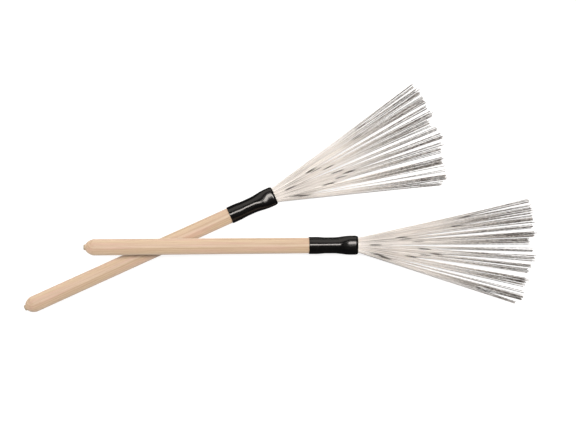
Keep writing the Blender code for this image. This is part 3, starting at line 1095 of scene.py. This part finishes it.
@dataclass(frozen=True)
class WireFan(Part):
    """The wires of one brush, from the pin inside the ferrule to their tips."""

    wire_radius: float = 0.23 * MM
    sides: int = 8
    steps: int = 48
    reach: float = 141.0 * MM
    inside: float = -1.0 * MM
    mouth_half_width: float = 5.7 * MM
    mouth_half_depth: float = 1.9 * MM
    root_margin: float = 0.2 * MM
    bend_end: float = 48.0 * MM
    bow: float = 1.0 * MM
    tip_drift: float = 0.45 * MM
    stray: float = 2.6 * MM
    slit_power: float = 0.5
    slit_lag: float = 15 * MM
    # painted shadow at the start of each slit
    shadow_length: float = 6 * MM
    shadow_fade: float = 5 * MM
    shadow_half_width: float = 0.3 * MM
    shadow_edge: float = 0.25 * MM
    shadow_onset: float = 1.25 * MM
    shadow_depth: float = 0.9
    early_slit: float = 15 * MM
    early_widening: float = 1.6
    # painted shade of the wires inside the pack near the mouth
    pack_shadow_from: float = 0.25
    pack_shadow_to: float = 0.75
    pack_shadow_depth: float = 0.95
    pack_shadow_end: float = 34 * MM
    pack_shadow_fade: float = 20 * MM
    loose_start: float = 0.45
    widest_slit: float = 1.2
    pin_place: float = -12.2 * MM
    hairpin_radius: float = 1.3 * MM
    hairpin_pitch: float = 0.44 * MM
    hairpin_layers: int = 3
    hairpin_narrowing: float = 0.82
    hairpin_steps: int = 8
    sharp: float = math.radians(60)
    seed: int = 7
    slit_starts: tuple[int, ...] = (82, 75, 30, 34, 44, 9, 49, 58, 50, 39, 13, 17, 95)
    """Where each slit between two tufts opens, in millimetres, in order from the first edge."""

    @property
    def slits(self) -> list[float]:
        """Where each slit opens, in metres."""
        return [start * MM for start in self.slit_starts]

    @cached_property
    def tufts(self) -> list[Tuft]:
        """The tufts in order from the fan's first edge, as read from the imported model."""
        found = []
        for number in range(1, len(self.slit_starts) + 2):
            wires = read_wires(self.place, self.place.name(f"wire_tuft_{number:02d}"))
            ends = [wire.at(self.reach).y for wire in wires]
            low, high = min(ends) - self.wire_radius, max(ends) + self.wire_radius
            found.append(Tuft(number, tuple(wires), low, high))
        return found

    def opened(self, slit: int, along: float, depth: float) -> float:
        """Tells how wide a slit is, as a share of a straight one from the mouth.

        Args:
            slit: The slit's place in order from the first edge.
            along: The place along the axis.
            depth: How deep in the fan the wire lies, from 0 to 1; deep wires part later.

        Returns:
            The share, which is 0 before the slit's start.
        """
        start = self.slits[slit] + self.slit_lag * depth
        if along <= start:
            return 0.0
        share = min((along - start) / (self.reach - start), 1.0)
        return min(share**self.slit_power * self.reach / along, self.widest_slit)

    def edges(
        self, index: int, along: float, depth: float
    ) -> tuple[float, float]:
        """Gives a tuft's edges as seen from the tips, with each slit shut before it opens.

        Args:
            index: The tuft's place among them.
            along: The place along the axis.
            depth: How deep in the fan the wire lies, from 0 to 1.

        Returns:
            The low and the high edge, as places across the fan at its tips.
        """
        tuft = self.tufts[index]
        low, high = tuft.low, tuft.high
        if index > 0:
            middle = (self.tufts[index - 1].low + tuft.high) / 2
            high = middle + (tuft.high - middle) * self.opened(index - 1, along, depth)
        if index < len(self.tufts) - 1:
            middle = (self.tufts[index + 1].high + tuft.low) / 2
            low = middle + (tuft.low - middle) * self.opened(index, along, depth)
        return low, high

    def spine(
        self, index: int, wire: Wire
    ) -> list[Vector]:
        """Gives the points of one wire, from just inside the mouth to its tip.

        Args:
            index: The place among them of the wire's tuft.
            wire: The wire.

        Returns:
            The points, in the row's frame.
        """
        tuft = self.tufts[index]
        packed = (tuft.wires.index(wire) + 0.5) / len(tuft.wires)
        roots = [other.at(0.0).y for other in tuft.wires]
        low, high = min(roots) - self.root_margin, max(roots) + self.root_margin
        start = wire.at(0.0)
        start.y = low + packed * (high - low)
        start.y = min(max(start.y, -self.mouth_half_width), self.mouth_half_width)
        start.z = min(max(start.z, -self.mouth_half_depth), self.mouth_half_depth)
        loose = (wire.at(self.reach).y - tuft.low) / (tuft.high - tuft.low)
        depth = tuft.depth(wire)
        points = []
        for step in range(self.steps):
            along = self.inside + (wire.tip.x - self.inside) * step / (self.steps - 1)
            low, high = self.edges(index, along, depth)
            fan = max(along, 0.0) / self.reach
            loosened = eased((fan - self.loose_start) / self.loose_start)
            share = packed + (loose - packed) * loosened
            across = start.y * (1 - fan) + (low + share * (high - low)) * fan
            rise = start.z + (wire.tip.z - start.z) * max(along, 0.0) / wire.tip.x
            points.append(self.place.world(along, across, rise))
        return points

    def slit_shadow(self, start: float, along: np.ndarray, aside: np.ndarray) -> np.ndarray:
        """Gives the painted shadow in a slit where it has only begun to open.

        Args:
            start: Where the slit opens.
            along: The places along the axis.
            aside: How far each place is from the slit's middle.

        Returns:
            The darkness, from 0 to 1.
        """
        begun = eased((along - start + self.shadow_onset) / (2 * self.shadow_onset))
        left = 1 - eased((along - start - self.shadow_length) / self.shadow_fade)
        early = max(1 - start / self.early_slit, 0.0)
        half_width = self.shadow_half_width * (1 + self.early_widening * early)
        close = 1 - eased((aside - half_width) / self.shadow_edge)
        return self.shadow_depth * begun * left * close

    def packed_shadow(self, depth: np.ndarray, along: np.ndarray) -> np.ndarray:
        """Tells how much painted shade wires get for being inside the pack near the mouth.

        Args:
            depth: How deep in the fan each wire lies, from 0 to 1.
            along: The places along the axis.

        Returns:
            The darkness, from 0 to 1.
        """
        inside = 1 - abs(2 * depth - 1)
        sunk = clamped((inside - self.pack_shadow_from) / (self.pack_shadow_to - self.pack_shadow_from))
        return self.pack_shadow_depth * sunk * clamped((self.pack_shadow_end - along) / self.pack_shadow_fade)

    def shades(
        self, spines: Sequence[Sequence[list[Vector]]]
    ) -> list[np.ndarray]:
        """Works out how much painted shadow each wire gets at each of its points.

        Args:
            spines: The points of each wire of each tuft.

        Returns:
            The shadows, from 0 to 1, in the order of the spines.
        """
        local = [self.place.local(np.array(lines)) for lines in spines]
        middles = [
            (first[:, :, 1].min(axis=0) + second[:, :, 1].max(axis=0)) / 2
            for first, second in zip(local, local[1:])
        ]
        found = []
        for index, (tuft, points) in enumerate(zip(self.tufts, local)):
            along = points[:, :, 0]
            depths = np.array([[tuft.depth(wire)] for wire in tuft.wires])
            shade = self.packed_shadow(depths, along)
            for slit in (index - 1, index):
                if 0 <= slit < len(middles):
                    aside = abs(points[:, :, 1] - middles[slit])
                    shade = np.maximum(shade, self.slit_shadow(self.slits[slit], along, aside))
            found.append(shade)
        return found

    def grow(
        self,
        name: str,
        lines: Sequence[Sequence[Vector]],
        reaches: Sequence[Sequence[float]],
        shades: Sequence[Sequence[float]],
        tree: GrowerBench,
        finish: bpy.types.Material,
        wander: float,
    ) -> bpy.types.Object:
        """Sweeps wires along lines.

        Args:
            name: The piece's name.
            lines: Each wire's points.
            reaches: For each point, how far along the free wire it is, from 0 to 1.
            shades: For each point, how much painted shadow it gets, from 0 to 1.
            tree: The wire grower.
            finish: The wires' material.
            wander: How much of the usual bow and drift the wires have, from 0 to 1.

        Returns:
            The new piece.
        """
        mesh = line_mesh(name, lines)
        numbers = [i for i, line in enumerate(lines) for _ in line]
        give_attribute(mesh, "wire", "INT", numbers)
        give_attribute(mesh, "reach", "FLOAT", np.ravel(reaches))
        give_attribute(mesh, "shade", "FLOAT", np.ravel(shades))
        values = {
            "Wire Radius": self.wire_radius,
            "Sides": self.sides,
            "Steps": len(lines[0]),
            "Bow": self.bow * wander,
            "Tip Drift": self.tip_drift * wander,
            "Stray": self.stray * wander,
            "Seed": self.seed + sum(ord(letter) for letter in name),
            "Finish": finish,
        }
        piece = tree.run(name, mesh, values)
        piece.data.shade_smooth()
        piece.data.set_sharp_from_angle(angle=self.sharp)
        return piece

    def build_roots(
        self,
        tree: GrowerBench,
        finish: bpy.types.Material,
    ) -> bpy.types.Object:
        """Builds the hairpins that hang on the pin inside the ferrule.

        Args:
            tree: The wire grower.
            finish: The wires' material.

        Returns:
            The hairpins' piece.
        """
        starts = [
            self.spine(index, wire)[0]
            for index, tuft in enumerate(self.tufts)
            for wire in tuft.wires
        ]
        local = sorted(self.place.local(np.array(starts)), key=lambda point: point[1])
        upper = [point for point in local if point[2] > 0]
        lower = [point for point in local if point[2] <= 0]
        lines = []
        for number, (first, second) in enumerate(zip(upper, lower)):
            radius = self.hairpin_radius + number % self.hairpin_layers * self.hairpin_pitch
            line = [first]
            for i in range(self.hairpin_steps + 1):
                share = i / self.hairpin_steps
                turn = math.radians(90 + 180 * share)
                along = self.pin_place + radius * math.cos(turn)
                across = (first[1] + (second[1] - first[1]) * share) * self.hairpin_narrowing
                line.append((along, across, radius * math.sin(turn)))
            line.append(second)
            lines.append([self.place.world(*point) for point in line])
        name = self.place.name("wire_roots")
        reaches = [[0.0] * len(line) for line in lines]
        piece = self.grow(name, lines, reaches, reaches, tree, finish, 0.0)
        return self.hand_over(piece, "wire_pack", Slot.WIRE)

    def build(
        self, tree: GrowerBench, wire: DrawnWire
    ) -> list[bpy.types.Object]:
        """Builds all the wires of one brush.

        Args:
            tree: The wire grower.
            wire: The wires' finish.

        Returns:
            The hairpins' piece, and one piece for each tuft.
        """
        finish = wire.material(self.place)
        pieces = [self.build_roots(tree, finish)]
        spines = [
            [self.spine(index, wire) for wire in tuft.wires]
            for index, tuft in enumerate(self.tufts)
        ]
        shades = self.shades(spines)
        share = [i / (self.steps - 1) for i in range(self.steps)]
        for tuft, lines, shade in zip(self.tufts, spines, shades):
            name = self.place.name(f"wires_{tuft.number:02d}")
            piece = self.grow(name, lines, [share] * len(lines), shade, tree, finish, 1.0)
            aim = tuft.wires[len(tuft.wires) // 2]
            end = aim.at(self.bend_end)
            self.place.body
            self.place.name(f"tuft_{tuft.number:02d}")
            self.place.world(0.0, aim.at(0.0).y)
            self.place.world(self.bend_end, end.y)
            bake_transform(piece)
            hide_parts(self.place.name(f"wire_tuft_{tuft.number:02d}"))
            pieces.append(piece)
        return pieces


def read_wires(place: BrushFrame, node: str) -> list[Wire]:
    """Reads each wire's root and tip from a CAD tuft.

    Args:
        place: Where the brush lies.
        node: The tuft's node.

    Returns:
        Its wires, in the brush's frame.
    """
    raw = cad_points(node)
    welded, number = np.unique(np.round(raw, 7), axis=0, return_inverse=True)
    number = number.reshape(-1)
    local = place.local(welded)
    halfway = (local[:, 0].min() + local[:, 0].max()) / 2
    far = local[:, 0] > halfway
    joined = {tuple(sorted(pair)) for pair in number[cad_edges(node)].tolist()}
    group = {int(i): int(i) for i in np.flatnonzero(far)}

    def head(i: int) -> int:
        """Follows a point's group to its first member."""
        while group[i] != i:
            i = group[i]
        return i

    feet: dict[int, set[int]] = {}
    for first, second in joined:
        if far[first] and far[second]:
            group[head(first)] = head(second)
    for first, second in joined:
        if far[first] != far[second]:
            tip, foot = (first, second) if far[first] else (second, first)
            feet.setdefault(head(tip), set()).add(foot)
    wires = []
    for top, below in sorted(feet.items()):
        ends = [i for i in group if head(i) == top]
        root = Vector(local[sorted(below)].mean(axis=0))
        wires.append(Wire(root, Vector(local[ends].mean(axis=0))))
    wires.sort(key=lambda wire: (round(wire.tip.y, 6), wire.tip.z))
    return wires


@dataclass(frozen=True)
class Brush:
    """One whole brush."""

    place: BrushFrame

    def dress_hidden(self) -> None:
        """Gives the pin and the resin inside the ferrule their finishes."""
        for part, finish in (("anchor_pin", PIN_STEEL), ("resin_plug", PottingResin())):
            node = frame["nodes"][self.place.name(part)]
            material = finish.material(self.place)
            for slot in node.material_slots:
                slot.link = "OBJECT"
                slot.material = material

    def build(self, turner: GrowerBench, grower: GrowerBench) -> list[bpy.types.Object]:
        """Builds and dresses every piece of the brush.

        Args:
            turner: The lathe.
            grower: The wire grower.

        Returns:
            The pieces.
        """
        self.dress_hidden()
        ferrule = Ferrule(self.place)
        return [
            TurnedHandle(self.place).build(turner, TurnedWood()),
            ferrule.build(TubeSteel()),
            VinylSleeve(self.place, ferrule).build(DippedVinyl()),
            *WireFan(self.place).build(grower, DrawnWire()),
        ]


@dataclass(frozen=True)
class Softbox:
    """A rectangular light that faces the brushes."""

    name: str
    size: tuple[float, float]
    power: float
    place: tuple[float, float, float]
    colour: Colour = (1.0, 1.0, 1.0)
    mirrored: bool = False

    def hang(self) -> None:
        """Hangs the light, which glossy faces show only where it's mirrored."""
        data = bpy.data.lights.new(self.name, "AREA")
        data.shape = "RECTANGLE"
        data.size, data.size_y = self.size
        data.energy = self.power
        data.color = self.colour
        light = add_object(self.name, data)
        light.location = self.place
        light.rotation_euler = (-Vector(self.place)).to_track_quat("-Z", "Y").to_euler()
        light.visible_camera = False
        light.visible_glossy = self.mirrored


@dataclass(frozen=True)
class Studio:
    """The floor, the lights and the camera."""

    floor_size: float = 6.0
    floor_gap: float = 0.02 * MM
    lens: float = 400.0
    sensor: float = 36.0
    view_width: float = 0.4608
    aim: tuple[float, float] = (6.8 * MM, -14.7 * MM)
    boxes: tuple[Softbox, ...] = (
        Softbox("strip", (1.26, 0.26), 10.5, (0.0, 0.16, 1.05), (1.0, 0.935, 0.88), True),
        Softbox("panel", (2.4, 1.6), 9.5, (0.0, 1.6, 0.85), (1.0, 0.93, 0.86), True),
        Softbox("fill", (2.4, 1.2), 2.8, (0.0, -1.3, 0.7), (1.0, 0.935, 0.88)),
        Softbox("left_box", (0.9, 2.6), 15.0, (-1.15, 0.1, 0.75)),
        Softbox("right_box", (0.9, 2.6), 15.0, (1.15, 0.1, 0.75)),
    )
    room_colour: Colour = (1.0, 0.985, 0.96)
    room_light: float = 0.05
    backdrop: float = 1.0

    def build(self) -> None:
        """Sets up everything that isn't part of the object."""
        self.build_floor()
        for box in self.boxes:
            box.hang()
        self.build_room()
        self.build_camera()

    def build_floor(self) -> None:
        """Lays the floor just under the brushes."""
        bpy.ops.mesh.primitive_plane_add(size=self.floor_size)
        floor = bpy.context.active_object
        floor.name = "studio_floor"
        floor.location.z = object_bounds()[0].z - self.floor_gap
        floor.data.materials.append(PaleFloor().material())
        floor.visible_glossy = False
        floor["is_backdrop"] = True

    def build_room(self) -> None:
        """Makes a room that lights the brushes dimly, and that the camera sees as pale."""
        world = bpy.data.worlds.new("studio")
        bpy.context.scene.world = world
        world.use_nodes = True
        bench = Bench(world.node_tree)
        path = bench.add("ShaderNodeLightPath").outputs["Is Camera Ray"]
        seen = bench.add("ShaderNodeMapRange", {0: path, 3: self.room_light, 4: self.backdrop})
        background = world.node_tree.nodes["Background"]
        bench.feed(background.inputs["Color"], (*self.room_colour, 1.0))
        bench.feed(background.inputs["Strength"], seen.outputs["Result"])
        bpy.context.scene.view_settings.view_transform = "Standard"

    def build_camera(self) -> None:
        """Looks straight down on the brushes."""
        data = bpy.data.cameras.new("camera")
        data.lens = self.lens
        data.sensor_width = self.sensor
        camera = add_object("camera", data)
        height = self.view_width * self.lens / self.sensor
        camera.location = (*self.aim, height)
        data.clip_end = 2 * height
        bpy.context.scene.camera = camera


def main() -> None:
    """Builds both brushes and the studio, and reports each piece."""
    logging.basicConfig(level=logging.INFO, format="%(message)s")
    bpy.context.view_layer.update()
    turner = lathe()
    grower = wire_grower()
    for side in Side:
        brush = Brush(BrushFrame.of(side))
        for piece in brush.build(turner, grower):
            LOG.info("%s: %d faces", piece.name, len(piece.data.polygons))
    Studio().build()


if __name__ == "__main__":
    main()
